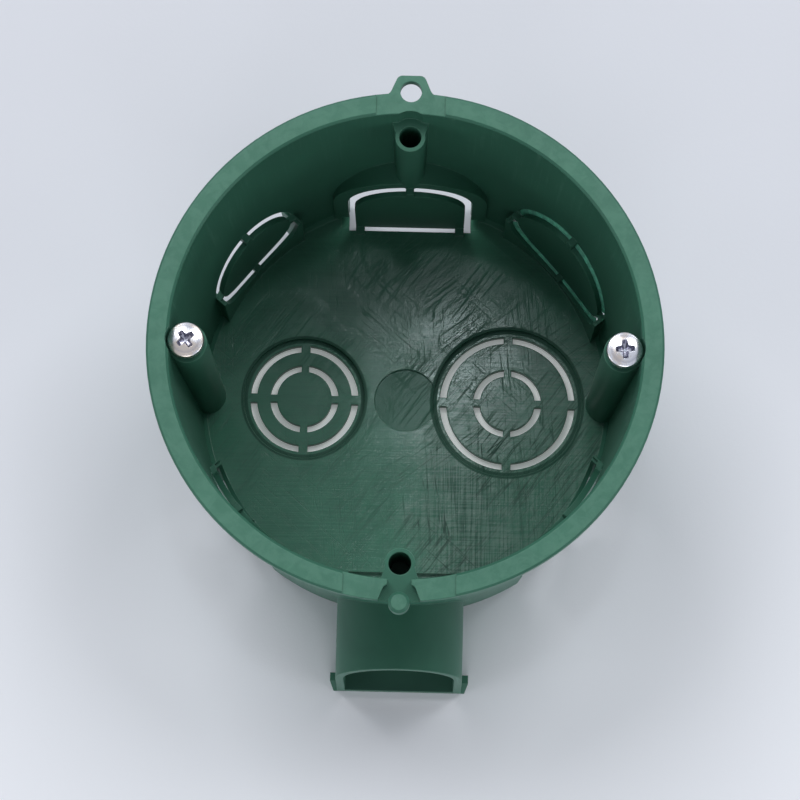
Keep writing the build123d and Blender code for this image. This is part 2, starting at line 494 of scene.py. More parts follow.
@dataclass(frozen=True)
class Tint:
    """How strongly each mark shows in the colour."""

    cloud: float = 0.75
    flow: float = 0.55
    hatch: float = 0.25
    # The next two are shares of the painted sheen on the floor.
    fleck: float = 0.42
    fleck_base: float = 0.05
    # Hatch lines left darker inside the painted sheen, and painted sheen between them.
    milling: float = 0.42
    between_milling: float = 0.42
    gate: float = 0.85
    # Scuffs left darker inside the painted sheen.
    scuffs: float = 0.85
    # Painted shade line inside each round recess of the floor.
    rings: float = 0.88
    # Painted shade on the floor of the duct.
    duct: float = 0.85
    rubbed: float = 0.30
    # Painted sheen on the rim, from low to high.
    rim: Span = (0.17, 0.31)
    edge: float = 0.22


@dataclass(frozen=True)
class Polish:
    """What each mark adds to the roughness."""

    floor: float = -0.295
    gate: float = 0.08
    scuffs: float = 0.30
    rings: float = 0.40
    cloud: float = 0.10
    grain: float = 0.08


@dataclass(frozen=True)
class Depths:
    """Depth of each mark as a share of the bump, where the grain is finer on the floor."""

    grain: float = 0.35
    floor_grain: float = -0.32
    milling: float = 0.22
    scuffs: float = -0.6
    drag: float = 0.8


@dataclass(frozen=True)
class MouldedPlastic(Finish):
    """Dark green polypropylene from a steel tool.

    The floor shows the tool's fine milling hatch, flow streaks that fan out from
    the gate, and scuffs. Edges are rounded by the tool and a little paler, and the
    outside of the wall shows the marks of being drawn from it. The colour also holds
    painted light: a pale painted sheen on the floor and on the rim, in which hatch
    lines and scuffs stay darker, a painted shade line inside each round recess of
    the floor, and painted shade on the floor of the duct.
    """

    label: ClassVar[str] = "moulded_plastic"
    colour: Colour = (0.055, 0.192, 0.129)
    deep_colour: Colour = (0.036, 0.128, 0.088)
    # Paler green for the rubbed outside and the worn edges, and for a painted sheen on the rim.
    wear_and_sheen_colour: Colour = (0.165, 0.345, 0.265)
    # Painted sheen: a pale colour that stands in for the floor's gloss.
    painted_sheen_colour: Colour = (0.165, 0.240, 0.210)
    # Painted shade on the floor of the duct, and hatch lines and scuffs left darker inside the
    # painted sheen.
    dark_line_and_shade_colour: Colour = (0.014, 0.050, 0.036)
    # Painted shade along the inner edge of each round recess of the floor.
    ring_shade_colour: Colour = (0.020, 0.074, 0.051)
    roughness: float = 0.41
    refraction: float = 1.49
    specular: float = 0.20
    subsurface: float = 0.08
    subsurface_radius: Colour = (0.4, 1.0, 0.6)
    subsurface_depth: float = 0.9
    bump_strength: float = 0.30
    bump_depth: float = 0.06
    edge_radius: float = 0.22
    edge_crease: Span = (0.985, 0.86)
    facing_up: Span = (0.90, 0.97)
    facing_out: float = 0.30
    across_milling: float = 0.55
    floor_height: float = 2.35
    duct_height: float = 1.5
    gate_radius: float = 4.75
    # Half width of the painted shade line inside each round recess.
    ring_shade_line: float = 0.42
    rim_height: float = 44.0
    wall_radius: float = 31.6
    layout: FloorLayout = FloorLayout()
    sheen: PaintedSheen = PaintedSheen()
    tint: Tint = Tint()
    polish: Polish = Polish()
    depths: Depths = Depths()
    circles: tuple[SunkCircle, SunkCircle] = (SunkCircle(-15.4, 9.2), SunkCircle(15.4, 11.3))
    scratches: tuple[ScratchSet, ...] = (
        ScratchSet(turn=-54.0, fine=1.5, width=0.036, shift=4.0),
        ScratchSet(turn=-38.0, fine=1.9, width=0.026, shift=11.0),
        ScratchSet(turn=84.0, fine=1.2, width=0.018, shift=23.0),
        ScratchSet(turn=40.0, fine=1.7, width=0.014, shift=37.0))

    def draw(self, sheet: Sheet) -> None:
        """Draw the node tree.

        Args:
            sheet: The empty tree of the material.
        """
        ground = self._ground(sheet)
        marks = self._marks(sheet, ground)
        rounded = sheet.bevel(self.edge_radius)
        colour = self._floor_colour(sheet, ground, marks)
        relief = self._relief(sheet, ground, marks)
        sheet.surface({"Base Color": self._wear_and_rim_sheen(sheet, ground, marks, rounded, colour),
                       "Roughness": self._rough(sheet, ground, marks),
                       "Normal": sheet.bump(relief, self.bump_strength, self.bump_depth, rounded),
                       "IOR": self.refraction, "Specular IOR Level": self.specular,
                       "Subsurface Weight": self.subsurface,
                       "Subsurface Radius": self.subsurface_radius,
                       "Subsurface Scale": self.subsurface_depth * MM})

    def _ground(self, sheet: Sheet) -> Ground:
        """Find out where a point lies and on which face.

        Args:
            sheet: The node tree.

        Returns:
            The coordinates and masks.
        """
        place = sheet.millimetres()
        right, forward, height = sheet.axes(place)
        facing = sheet.axes(sheet.add("ShaderNodeTexCoord").outputs["Normal"])[2]
        level = sheet.between(facing, *self.facing_up)
        upright = sheet.below(sheet.calc("ABSOLUTE", facing), self.facing_out, 0.30)
        radius = sheet.length(sheet.pair(right, forward))
        low_face = sheet.product(level, sheet.below(height, self.floor_height, 0.2))
        at_rim = sheet.between(height, self.rim_height - 0.3, self.rim_height)
        beyond = sheet.between(radius, self.wall_radius, self.wall_radius + 0.4)
        return Ground(place=place, right=right, forward=forward, height=height, radius=radius,
                      around=sheet.calc("ARCTAN2", forward, right),
                      low_face=low_face,
                      on_floor=sheet.product(low_face, sheet.below(radius, self.wall_radius, 0.6)),
                      on_rim=sheet.product(level, at_rim),
                      outside=sheet.product(beyond, upright))

    def _hatch(self, sheet: Sheet, place: Socket, factors: Sequence[float],
               shift: float) -> Socket:
        """Return the fine lines that milling leaves in one direction.

        Args:
            sheet: The node tree.
            place: Coordinates in millimetres.
            factors: Stretch of the pattern along each axis.
            shift: Offset that makes each set different.

        Returns:
            The lines, from 0 to 1.
        """
        stretched = sheet.scaled(place, factors, 0.0, (shift, shift, shift))
        return sheet.between(sheet.noise(stretched, 1.0, roughness=0.6), 0.42, 0.62)

    def _marks(self, sheet: Sheet, ground: Ground) -> Marks:
        """Draw the marks of the tool and of use, the painted sheen and the painted shade lines.

        Args:
            sheet: The node tree.
            ground: Where a point lies.

        Returns:
            The marks.
        """
        place = ground.place
        layout = self.layout
        patch = sheet.noise(sheet.scaled(place, (0.16, 0.16, 0.16), turn=20.0), 1.0, 4.0, 0.6)
        aside = sheet.calc("ADD", ground.right, sheet.swing(patch, layout.wander))
        rightwards = sheet.between(aside, *layout.sheen)
        band = sheet.product(sheet.between(aside, *layout.band_start),
                             sheet.between(aside, *layout.band_end))
        near = sheet.between(ground.forward, *layout.painted_sheen_end)
        low = sheet.between(ground.forward, *layout.hatch)

        across = self._hatch(sheet, place, factors=(0.10, 3.4, 0.1), shift=2.0)
        along = self._hatch(sheet, place, factors=(3.6, 0.08, 0.1), shift=7.0)
        milling = sheet.total(sheet.product(across, self.across_milling),
                              sheet.product(along, low, rightwards))
        in_gate = sheet.below(ground.radius, self.gate_radius - 0.15, 0.15)
        # Painted sheen: strongest to the right and in a band, faded towards +Y and off the gate.
        painted_sheen_share = sheet.total(self.sheen.base, sheet.product(rightwards, self.sheen.rightwards),
                            sheet.product(band, self.sheen.band))
        sheen = sheet.product(sheet.product(near, ground.on_floor), painted_sheen_share)
        off_gate = sheet.calc("MULTIPLY_ADD", in_gate, self.sheen.gate, 1.0)
        drag = sheet.pair(sheet.product(ground.around, 42.0), sheet.product(ground.height, 0.05))
        lines = [scratch.draw(sheet, place) for scratch in self.scratches]
        rings = [circle.draw(sheet, ground.right, ground.forward, self.ring_shade_line)
                 for circle in self.circles]
        return Marks(grain=sheet.noise(place, 5.5, roughness=0.6),
                     cloud=sheet.noise(place, 0.11, roughness=0.55, distortion=0.4),
                     milling=milling,
                     depth=sheet.calc("MULTIPLY_ADD", low, self.depths.milling,
                                      sheet.product(near, self.depths.milling)),
                     scuffs=sheet.calc("MULTIPLY", sheet.total(*lines), 1.0, clamp=True),
                     rings=sheet.product(sheet.calc("MAXIMUM", *rings), ground.on_floor),
                     gate=sheet.product(in_gate, ground.on_floor),
                     sheen=sheet.product(sheen, off_gate),
                     streaks=sheet.noise(drag, 1.0, detail=4.0, roughness=0.65))

    def _floor_colour(self, sheet: Sheet, ground: Ground, marks: Marks) -> Socket:
        """Colour the plastic and the marks on the floor, with painted sheen and painted shade.

        Args:
            sheet: The node tree.
            ground: Where a point lies.
            marks: The marks.

        Returns:
            The colour.
        """
        fan = sheet.pair(sheet.product(ground.around, 3.2), sheet.product(ground.radius, 0.05))
        flow = sheet.noise(fan, 2.4, detail=4.0, roughness=0.62, distortion=0.8)
        tint = self.tint
        tone = sheet.total(sheet.product(marks.cloud, tint.cloud),
                           sheet.product(flow, ground.on_floor, tint.flow),
                           sheet.product(marks.milling, ground.on_floor, tint.hatch))
        spots = sheet.noise(sheet.scaled(ground.place, (0.5, 1.5, 0.5), -30.0), 1.0, 4.0, 0.7)
        fleck = sheet.between(spots, 0.35, 0.65)
        pale = sheet.calc("SUBTRACT", 1.0, marks.milling, clamp=True)
        on_painted_sheen = sheet.calc("POWER", marks.sheen, 0.5)
        # Painted shade on the floor of the duct.
        deep = sheet.below(ground.height, self.duct_height, 0.4)
        behind = sheet.between(ground.forward, *self.layout.duct)
        painted_duct_shade = sheet.product(behind, sheet.product(ground.low_face, deep))
        # Coats: painted sheen, hatch lines darker inside it, the gate, painted sheen between the
        # hatch lines, scuffs darker inside it, painted shade lines, painted shade in the duct.
        return sheet.coats(
            sheet.mix(sheet.between(tone, 0.15, 1.0), self.deep_colour, self.colour),
            (sheet.product(marks.sheen,
                           sheet.calc("MULTIPLY_ADD", fleck, tint.fleck, tint.fleck_base)),
             self.painted_sheen_colour),
            (sheet.product(marks.milling, marks.sheen, tint.milling), self.dark_line_and_shade_colour),
            (sheet.product(marks.gate, tint.gate), self.deep_colour),
            (sheet.product(pale, marks.sheen, tint.between_milling), self.painted_sheen_colour),
            (sheet.product(marks.scuffs, on_painted_sheen, tint.scuffs), self.dark_line_and_shade_colour),
            (sheet.product(marks.rings, tint.rings), self.ring_shade_colour),
            (sheet.product(painted_duct_shade, tint.duct), self.dark_line_and_shade_colour))

    def _wear_and_rim_sheen(self, sheet: Sheet, ground: Ground, marks: Marks, rounded: Socket,
              colour: Socket) -> Socket:
        """Lay the paler wear of the outside and the edges, and a painted sheen on the rim, over the
        colour.

        Args:
            sheet: The node tree.
            ground: Where a point lies.
            marks: The marks.
            rounded: The normal with rounded edges.
            colour: The colour below.

        Returns:
            The colour that shows.
        """
        patches = sheet.noise(ground.place, 0.09, roughness=0.6)
        rubbed = sheet.product(sheet.between(marks.streaks, 0.50, 0.72),
                               sheet.between(patches, 0.42, 0.62, start=0.25, end=1.0))
        blotches = sheet.noise(ground.place, 0.55, detail=4.0, roughness=0.65, distortion=0.5)
        # Painted sheen on the rim, in blotches.
        painted_rim_sheen = sheet.between(blotches, 0.35, 0.65, *self.tint.rim)
        crease = sheet.add("ShaderNodeVectorMath", {"operation": "DOT_PRODUCT"},
                           {0: rounded, 1: sheet.add("ShaderNodeNewGeometry").outputs["Normal"]})
        edge = sheet.between(crease.outputs[1], *self.edge_crease)
        return sheet.coats(colour,
                           (sheet.product(rubbed, ground.outside, self.tint.rubbed),
                            self.wear_and_sheen_colour),
                           (sheet.product(ground.on_rim, painted_rim_sheen), self.wear_and_sheen_colour),
                           (sheet.product(edge, self.tint.edge), self.wear_and_sheen_colour))

    def _rough(self, sheet: Sheet, ground: Ground, marks: Marks) -> Socket:
        """Return the roughness, which is lowest on the floor beside its marks.

        Args:
            sheet: The node tree.
            ground: Where a point lies.
            marks: The marks.

        Returns:
            The roughness.
        """
        polish = self.polish
        return sheet.total(self.roughness,
                           sheet.swing(marks.cloud, polish.cloud),
                           sheet.swing(marks.grain, polish.grain),
                           sheet.product(marks.gate, polish.gate),
                           sheet.product(marks.scuffs, ground.on_floor, polish.scuffs),
                           sheet.product(ground.on_floor, polish.floor),
                           sheet.product(marks.rings, polish.rings))

    def _relief(self, sheet: Sheet, ground: Ground, marks: Marks) -> Socket:
        """Return the relief: grain, milling, scuffs, drag marks and slow waves.

        Args:
            sheet: The node tree.
            ground: Where a point lies.
            marks: The marks.

        Returns:
            The relief, where 1 is the full depth of the bump.
        """
        depths = self.depths
        smoothed = sheet.calc("MULTIPLY_ADD", ground.on_floor, depths.floor_grain, depths.grain)
        return sheet.total(sheet.product(marks.grain, smoothed),
                           sheet.product(marks.milling, ground.on_floor, marks.depth),
                           sheet.product(marks.scuffs, ground.on_floor, depths.scuffs),
                           sheet.product(marks.streaks, ground.outside, depths.drag),
                           marks.cloud)


@dataclass(frozen=True)
class ZincPlate(Finish):
    """Bright zinc on steel, with a thin warm bloom in patches and painted shade in the cross
    recess.
    """

    label: ClassVar[str] = "zinc_plate"
    colour: Colour = (0.76, 0.77, 0.81)
    bloom: Colour = (0.66, 0.56, 0.46)
    # Darker grey for random specks in the grain, and for painted shade in the cross recess.
    recess: Colour = (0.33, 0.33, 0.40)
    roughness: float = 0.26
    bump_strength: float = 0.22
    bump_depth: float = 0.03
    edge_radius: float = 0.07
    recess_radius: float = 1.75
    spacing: float = 60.0
    crown_height: float = 44.22

    def draw(self, sheet: Sheet) -> None:
        """Draw the node tree.

        Args:
            sheet: The empty tree of the material.
        """
        place = sheet.millimetres()
        right, forward, height = sheet.axes(place)
        cloud = sheet.noise(place, 0.45, roughness=0.55, distortion=0.3)
        grain = sheet.noise(place, 9.0, roughness=0.6)
        turning = sheet.noise(sheet.scaled(place, (0.6, 0.6, 14.0)), 1.0, detail=2.0)
        beside = sheet.calc("SUBTRACT", sheet.calc("ABSOLUTE", right), self.spacing / 2)
        reach = sheet.length(sheet.pair(beside, forward))
        # Painted shade in the cross recess.
        recess_shade = sheet.product(sheet.below(reach, self.recess_radius, 0.3),
                             sheet.between(height, self.crown_height - 0.20,
                                           self.crown_height - 0.50))
        colour = sheet.coats(self.colour,
                             (sheet.between(cloud, 0.46, 0.64, start=0.0, end=0.8), self.bloom),
                             (sheet.between(grain, 0.30, 0.75, start=0.12, end=0.0), self.recess),
                             (sheet.product(recess_shade, 0.85), self.recess))
        relief = sheet.total(sheet.product(grain, 0.6), sheet.product(turning, 0.4))
        normal = sheet.bump(relief, self.bump_strength, self.bump_depth,
                            sheet.bevel(self.edge_radius))
        sheet.surface({"Base Color": colour, "Metallic": 1.0, "Normal": normal,
                       "Roughness": sheet.total(self.roughness, sheet.swing(cloud, 0.20),
                                                sheet.swing(grain, 0.10))})


@dataclass(frozen=True)
class TablePaper(Finish):
    """Pale matt card with a faint tooth, painted lighter towards -Y as a painted pool of light.

    A brighter disc beneath the box, painted light that also glows a little, makes the base's slots
    look bright.
    """

    label: ClassVar[str] = "table_paper"
    colour: Colour = (0.722, 0.744, 0.816)
    # Painted light: the card grows lighter towards -Y.
    front_light_colour: Colour = (0.862, 0.885, 0.952)
    # Painted light: a brighter disc beneath the box, which also glows.
    glow_disc_colour: Colour = (0.95, 0.97, 0.97)
    glow_disc_radius: float = 25.6
    glow: float = 0.20
    patch_shade: float = 0.975
    roughness: float = 0.62
    specular: float = 0.25

    def draw(self, sheet: Sheet) -> None:
        """Draw the node tree.

        Args:
            sheet: The empty tree of the material.
        """
        place = sheet.millimetres()
        forward = sheet.axes(place)[1]
        cloud = sheet.noise(place, 0.02, detail=2.0)
        darker = tuple(self.patch_shade * value for value in self.colour)
        # Painted light: the brighter, glowing disc beneath the box.
        glow_disc = sheet.below(sheet.length(place), self.glow_disc_radius, 0.3)
        colour = sheet.coats(sheet.mix(sheet.between(cloud, 0.3, 0.7), darker, self.colour),
                             (sheet.between(forward, 30.0, -60.0), self.front_light_colour),
                             (glow_disc, self.glow_disc_colour))
        tooth = sheet.noise(place, 1.6, detail=4.0, roughness=0.6)
        sheet.surface({"Base Color": colour, "Roughness": self.roughness,
                       "Normal": sheet.bump(tooth, strength=0.18, depth=0.10),
                       "Specular IOR Level": self.specular,
                       "Emission Color": (*self.glow_disc_colour, 1.0),
                       "Emission Strength": sheet.product(glow_disc, self.glow)})


@dataclass(frozen=True)
class ThinFilm(Finish):
    """Plastic so thin that the light of the table comes through it; its light green is partly
    painted light, a lit copy of the moulding's green.
    """

    label: ClassVar[str] = "thin_film"
    # Lighter than the moulding's green: painted light for the light coming through.
    colour: Colour = (0.240, 0.760, 0.560)
    patch_shade: float = 0.62
    roughness: float = 0.38
    refraction: float = 1.49
    transmission: float = 0.30

    def draw(self, sheet: Sheet) -> None:
        """Draw the node tree.

        Args:
            sheet: The empty tree of the material.
        """
        cloud = sheet.noise(sheet.millimetres(), 0.8, roughness=0.6)
        darker = tuple(self.patch_shade * value for value in self.colour)
        colour = sheet.mix(sheet.between(cloud, 0.35, 0.65), darker, self.colour)
        sheet.surface({"Base Color": colour, "Roughness": self.roughness,
                       "Normal": sheet.bump(cloud, strength=0.3, depth=0.05),
                       "IOR": self.refraction, "Transmission Weight": self.transmission})


@dataclass
class DeviceScrew:
    """Cross-head screw hanging in its post, in millimetres."""

    side: Side
    finish: ZincPlate
    spacing: float = 60.0
    seat: float = 42.4
    head_radius: float = 2.48
    head_edge: float = 1.32
    head_dome: float = 0.50
    head_shoulder: float = 0.32
    head_chamfer: float = 0.10
    head_skirt: float = 0.12
    shank_radius: float = 1.46
    core_radius: float = 1.14
    neck_fillet: float = 0.15
    neck_height: float = 0.3
    thread_pitch: float = 0.8
    thread_start: float = 41.6
    thread_end: float = 24.6
    thread_runout: float = 0.5
    ridge_half_width: float = 0.32
    point_height: float = 22.45
    point_radius: float = 0.45
    point_thread: float = 0.9
    recess_reach: float = 1.42
    recess_half_width: float = 0.36
    recess_root: float = 1.35
    recess_depth: float = 1.25
    recess_tiers: tuple[float, float, float] = (1.12, 0.62, 0.25)
    recess_tip: float = 0.25
    sharp_angle: float = 32.0
    segments: int = 72
    crown_rings: int = 12
    shoulder_rings: int = 5
    pitch_rings: int = 10
    point_rings: int = 12

    @property
    def x(self) -> float:
        """Return where the screw's axis lies along X."""
        return self.side.sign * self.spacing / 2

    @property
    def top(self) -> float:
        """Return the height of the crown."""
        return self.seat + self.head_edge + self.head_dome

    def build(self) -> bpy.types.Object:
        """Build, finish and place the screw.

        Returns:
            The screw.
        """
        name = f"device_screw_{self.side.name.lower()}"
        body = self._turned(name)
        cutter = self._recess_tool(name + "_recess")
        cut = body.modifiers.new("recess", "BOOLEAN")
        cut.operation = "DIFFERENCE"
        cut.solver = "EXACT"
        cut.object = cutter
        bpy.context.view_layer.update()
        evaluated = body.evaluated_get(bpy.context.evaluated_depsgraph_get())
        solid = bpy.data.meshes.new_from_object(evaluated)
        body.modifiers.clear()
        body.data = solid
        bpy.data.objects.remove(cutter)
        shade_smooth(solid)
        solid.set_sharp_from_angle(angle=math.radians(self.sharp_angle))
        self.finish.dress(body)
        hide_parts("device_screws")
        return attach(body, "root")

    def _head(self) -> list[Point]:
        """List the rings of the domed head.

        Returns:
            Radius, height and thread depth of each ring, from the crown to the seat.
        """
        flat = self.head_radius - self.head_shoulder
        crown = (flat ** 2 + self.head_dome ** 2) / (2 * self.head_dome)
        edge = self.seat + self.head_edge
        centre = edge + self.head_dome - crown
        reach = math.asin(flat / crown)
        rings = []
        for step in range(1, self.crown_rings + 1):
            angle = reach * step / self.crown_rings
            rings.append((crown * math.sin(angle), centre + crown * math.cos(angle), 0.0))
        for step in range(1, self.shoulder_rings + 1):
            angle = reach + (math.pi / 2 - reach) * step / self.shoulder_rings
            out = (math.sin(angle) - math.sin(reach)) / (1 - math.sin(reach))
            drop = math.cos(reach) - math.cos(angle)
            rings.append((flat + self.head_shoulder * out, edge - self.head_shoulder * drop, 0.0))
        rings.append((self.head_radius, self.seat + self.head_skirt, 0.0))
        rings.append((self.head_radius - self.head_chamfer, self.seat, 0.0))
        return rings

    def _shank(self) -> list[Point]:
        """List the rings of the shank with its thread.

        Returns:
            Radius, height and thread depth of each ring, from the seat to the point.
        """
        core = self.core_radius
        depth = self.shank_radius - core
        rings = [(self.shank_radius - self.head_chamfer, self.seat, 0.0),
                 (core + self.neck_fillet, self.thread_start + self.neck_height, 0.0)]
        height = self.thread_start
        while height > self.thread_end:
            grown = min(1.0, (self.thread_start - height) / self.thread_runout)
            rings.append((core, height, depth * grown))
            height -= self.thread_pitch / self.pitch_rings
        for index in range(self.point_rings + 1):
            share = index / self.point_rings
            rings.append((core + (self.point_radius - core) * share,
                          self.thread_end + (self.point_height - self.thread_end) * share,
                          depth * (1.0 - share) * self.point_thread))
        return rings

    def _turned(self, name: str) -> bpy.types.Object:
        """Build the screw's skin without its recess.

        Args:
            name: Name of the object.

        Returns:
            The object, linked to the scene.
        """
        rings = self._head() + self._shank()
        count = self.segments
        vertices = [(self.x, 0.0, self.top)]
        for radius, height, depth in rings:
            for index in range(count):
                share = index / count
                phase = (height / self.thread_pitch - share) % 1.0
                ridge = max(0.0, 1.0 - abs(phase - 0.5) / self.ridge_half_width)
                reach = radius + depth * ridge
                angle = 2 * math.pi * share
                vertices.append((self.x + reach * math.cos(angle), reach * math.sin(angle), height))
        vertices.append((self.x, 0.0, self.point_height))
        last = len(vertices) - 1
        faces: list[tuple[int, ...]] = []
        for index in range(count):
            after = (index + 1) % count
            faces.append((0, 1 + index, 1 + after))
            faces.append((last, last - count + after, last - count + index))
        return link_mesh(name, vertices, faces + ring_faces(len(rings) - 1, count, first=1))

    def _recess_tool(self, name: str) -> bpy.types.Object:
        """Build the tapered cross that cuts the recess.

        Args:
            name: Name of the object.

        Returns:
            The cutter, linked to the scene.
        """
        half = self.recess_half_width
        reach = self.recess_reach
        inner = half * self.recess_root
        outline = []
        for quarter in range(4):
            turn = math.radians(90.0 * quarter + self.side.recess_turn)
            for across, along in ((-half, reach), (half, reach), (inner, inner)):
                outline.append((along * math.cos(turn) - across * math.sin(turn),
                                along * math.sin(turn) + across * math.cos(turn)))
        floor = self.top - self.recess_depth
        heights = (self.top + 0.3, floor + self.recess_tip, floor)
        vertices = []
        for height, grow in zip(heights, self.recess_tiers):
            vertices += [(self.x + grow * along, grow * across, height)
                         for along, across in outline]
        count = len(outline)
        caps = [tuple(range(count)), tuple(reversed(range(2 * count, 3 * count)))]
        return link_mesh(name, vertices, caps + ring_faces(2, count))


@dataclass
class Moulding:
    """The box's single moulding, which keeps its CAD shape."""

    finish: MouldedPlastic
    node: str = "back_box"

    def build(self) -> bpy.types.Object:
        """Finish the moulding.

        Returns:
            The CAD node.
        """
        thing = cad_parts[self.node]
        self.finish.dress(thing)
        return thing


@dataclass
class EntryFilm:
    """Flash of plastic that still closes the slot of the upper right side entry.

    Sizes are in millimetres. An edge of a strip is given by its distance from the
    box's axis and by its radius about the middle of the entry.
    """

    finish: ThinFilm
    azimuth: float = 40.0
    height: float = 12.6
    thickness: float = 0.08
    sag: float = 0.05
    web_angle: float = 4.0
    upper_edges: tuple[Edge, Edge] = ((31.18, 9.30), (31.62, 10.30))
    lower_edges: tuple[Edge, Edge] = ((30.36, 9.34), (30.03, 9.78))
    steps: int = 56
    rows: int = 3

    def build(self) -> list[bpy.types.Object]:
        """Build the film's upper and lower strip.

        Returns:
            The two strips.
        """
        return [self._strip("entry_film_upper", 0.0, self.upper_edges),
                self._strip("entry_film_lower", 180.0, self.lower_edges)]

    def _strip(self, name: str, base: float, edges: tuple[Edge, Edge]) -> bpy.types.Object:
        """Build a ruled strip between two curves that run halfway round the entry.

        Args:
            name: Name of the piece.
            base: Angle round the entry where that half starts, in degrees.
            edges: The strip's inner and outer edge.

        Returns:
            The strip.
        """
        inner, outer = edges
        start = base + self.web_angle
        sweep = 180.0 - 2 * self.web_angle
        turn = math.radians(self.azimuth - 90.0)
        vertices = []
        for index in range(self.steps + 1):
            angle = math.radians(start + sweep * index / self.steps)
            for row in range(self.rows + 1):
                share = row / self.rows
                wall = inner[0] + (outer[0] - inner[0]) * share
                radius = inner[1] + (outer[1] - inner[1]) * share
                sideways = radius * math.cos(angle)
                forward = math.sqrt(max(wall * wall - sideways * sideways, 0.0))
                drop = self.sag * math.sin(math.pi * share)
                vertices.append((sideways * math.cos(turn) - forward * math.sin(turn),
                                 sideways * math.sin(turn) + forward * math.cos(turn),
                                 self.height + radius * math.sin(angle) - drop))
        film = link_mesh(name, vertices, grid_faces(self.steps, self.rows))
        thicken(film, self.thickness, offset=0.0)
        shade_smooth(film.data)
        self.finish.dress(film)
        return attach(film, "root")


@dataclass
class LatchShadeSkin:
    """Thin skin of the moulding's plastic over a latch recess of the coupling entry: painted shade,
    a dark sheet that keeps the bright table from showing through.

    Sizes are in millimetres.
    """

    side: Side
    finish: MouldedPlastic
    inner: float = 9.29
    outer: float = 10.60
    front: float = 26.60
    back: float = 28.80
    top: float = 2.0
    step_down: float = 0.01
    thickness: float = 0.3
    sag: float = 0.05
    steps: int = 6

    def build(self) -> bpy.types.Object:
        """Build the skin, which sags a little in the middle.

        Returns:
            The skin.
        """
        sign = self.side.sign
        vertices = []
        for row in range(self.steps + 1):
            for column in range(self.steps + 1):
                u, v = column / self.steps, row / self.steps
                drop = self.step_down + self.sag * math.sin(math.pi * u) * math.sin(math.pi * v)
                vertices.append((sign * (self.inner + (self.outer - self.inner) * u),
                                 self.front + (self.back - self.front) * v, self.top - drop))
        faces = grid_faces(self.steps, self.steps)
        if self.side is Side.LEFT:
            faces = [tuple(reversed(face)) for face in faces]
        skin = link_mesh(f"latch_film_{self.side.name.lower()}", vertices, faces)
        thicken(skin, self.thickness, offset=-1.0)
        self.finish.dress(skin)
        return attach(skin, "root")


@dataclass(frozen=True)
class Lamp:
    """A square soft box that looks at a point, in metres."""

    name: str
    place: Point
    target: Point
    size: float
    power: float
    colour: Colour = (1.0, 1.0, 1.0)

    def build(self) -> bpy.types.Object:
        """Place the lamp.

        Returns:
            The lamp.
        """
        data = bpy.data.lights.new(self.name, "AREA")
        data.shape = "SQUARE"
        data.size = self.size
        data.energy = self.power
        data.color = self.colour
        lamp = bpy.data.objects.new(self.name, data)
        bpy.context.scene.collection.objects.link(lamp)
        lamp.location = self.place
        aim = Vector(self.target) - Vector(self.place)
        lamp.rotation_euler = aim.to_track_quat("-Z", "Y").to_euler()
        return lamp


